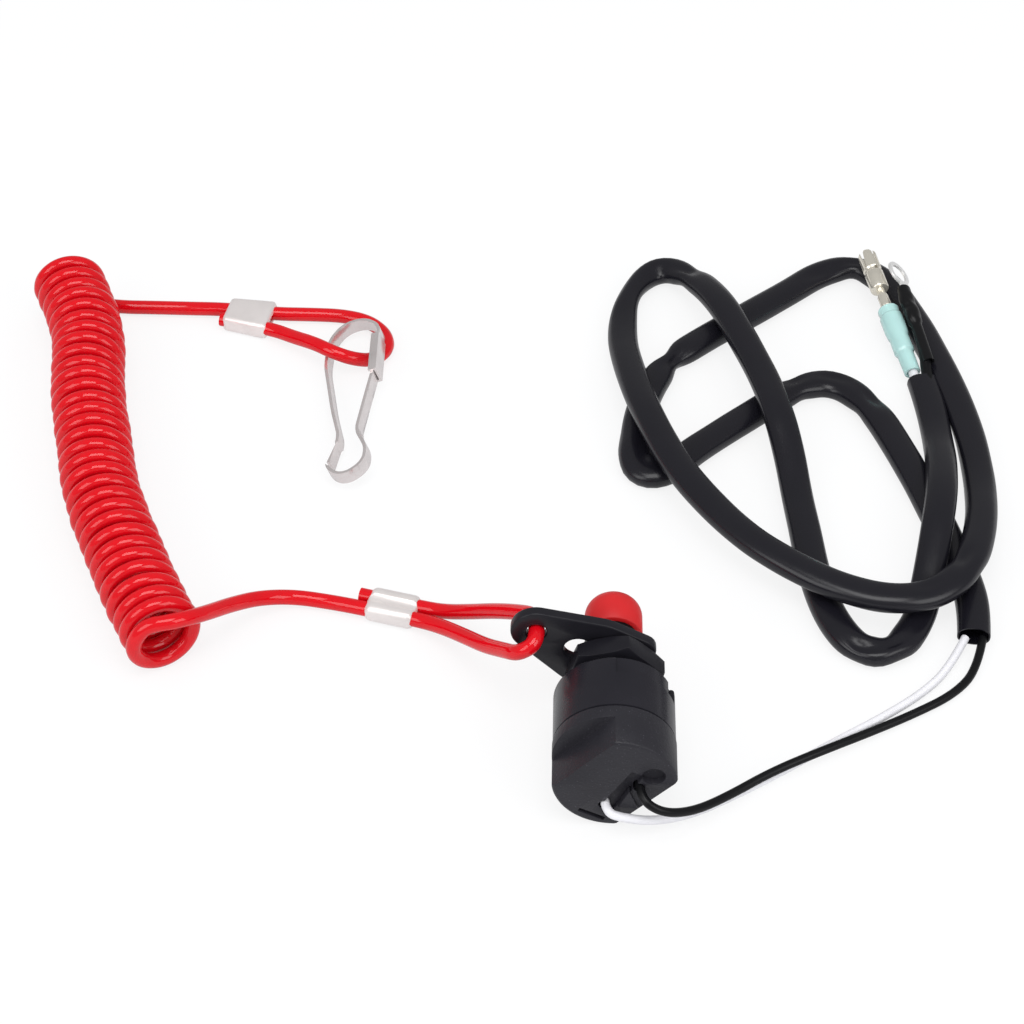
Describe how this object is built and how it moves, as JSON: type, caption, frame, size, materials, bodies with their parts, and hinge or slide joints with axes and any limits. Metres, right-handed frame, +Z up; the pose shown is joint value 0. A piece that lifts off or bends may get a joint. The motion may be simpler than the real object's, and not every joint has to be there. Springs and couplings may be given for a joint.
{
  "type": "engine kill switch with lanyard",
  "caption": "Panel-mounted engine kill switch with red button, removable fork clip on a coiled lanyard with snap hook, and sleeved wires ending in bullet and ring terminals.",
  "frame": {"origin": "on the switch axis, at the housing shoulder that seats on the panel", "axes": "+Y along the switch axis towards the red button, +Z up as the switch lies, +X towards the wires"},
  "size_m": [0.2677, 0.2171, 0.032],
  "materials": {
    "black_plastic": "satin",
    "clip_plastic": "satin",
    "red_plastic": "satin",
    "black_rubber": "matte",
    "spring_steel": "satin",
    "contact_brass": "satin",
    "red_cord": "gloss",
    "ferrule_metal": "satin",
    "plated_steel": "polished",
    "sleeve_vinyl": "satin",
    "white_insulation": "satin",
    "black_insulation": "satin",
    "clear_cover": "translucent"
  },
  "bodies": {
    "switch": {"housing": "black_plastic", "rear_cover": "black_plastic", "hex_nut": "black_plastic", "panel_gasket": "black_rubber", "stem_seal": "black_rubber", "plunger_stem": "black_plastic", "plunger_spring": "spring_steel", "retaining_ring": "spring_steel", "button_spring": "spring_steel", "white_contact": "contact_brass", "black_contact": "contact_brass", "wire_sleeve": "sleeve_vinyl", "white_wire": "white_insulation", "black_wire": "black_insulation", "white_wire_end": "white_insulation", "black_wire_end": "black_insulation", "bullet_terminal": "plated_steel", "bullet_cover": "clear_cover", "ring_terminal": "plated_steel", "ring_boot": "black_insulation"},
    "button": {"button_cap": "red_plastic", "push_rod": "black_plastic", "contact_carrier": "black_plastic", "contact_bridge": "contact_brass"},
    "lanyard": {"lock_clip": "clip_plastic", "lanyard_coil": "red_cord", "clip_cord": "red_cord", "hook_cord": "red_cord", "clip_ferrule": "ferrule_metal", "hook_ferrule": "ferrule_metal", "snap_hook": "plated_steel", "hook_spring_strip": "plated_steel"}
  },
  "joints": [
    {"name": "button_press", "type": "slide", "parent": "switch", "child": "button", "axis": [0, -1, 0], "range_m": [0, 0.003], "stiffness_N_per_m": 1500, "deforming": ["button_spring"]},
    {"name": "clip_pull", "type": "slide", "parent": "switch", "child": "lanyard", "axis": [-0.866, 0, 0.5], "range_m": [0, 0.016]}
  ]
}
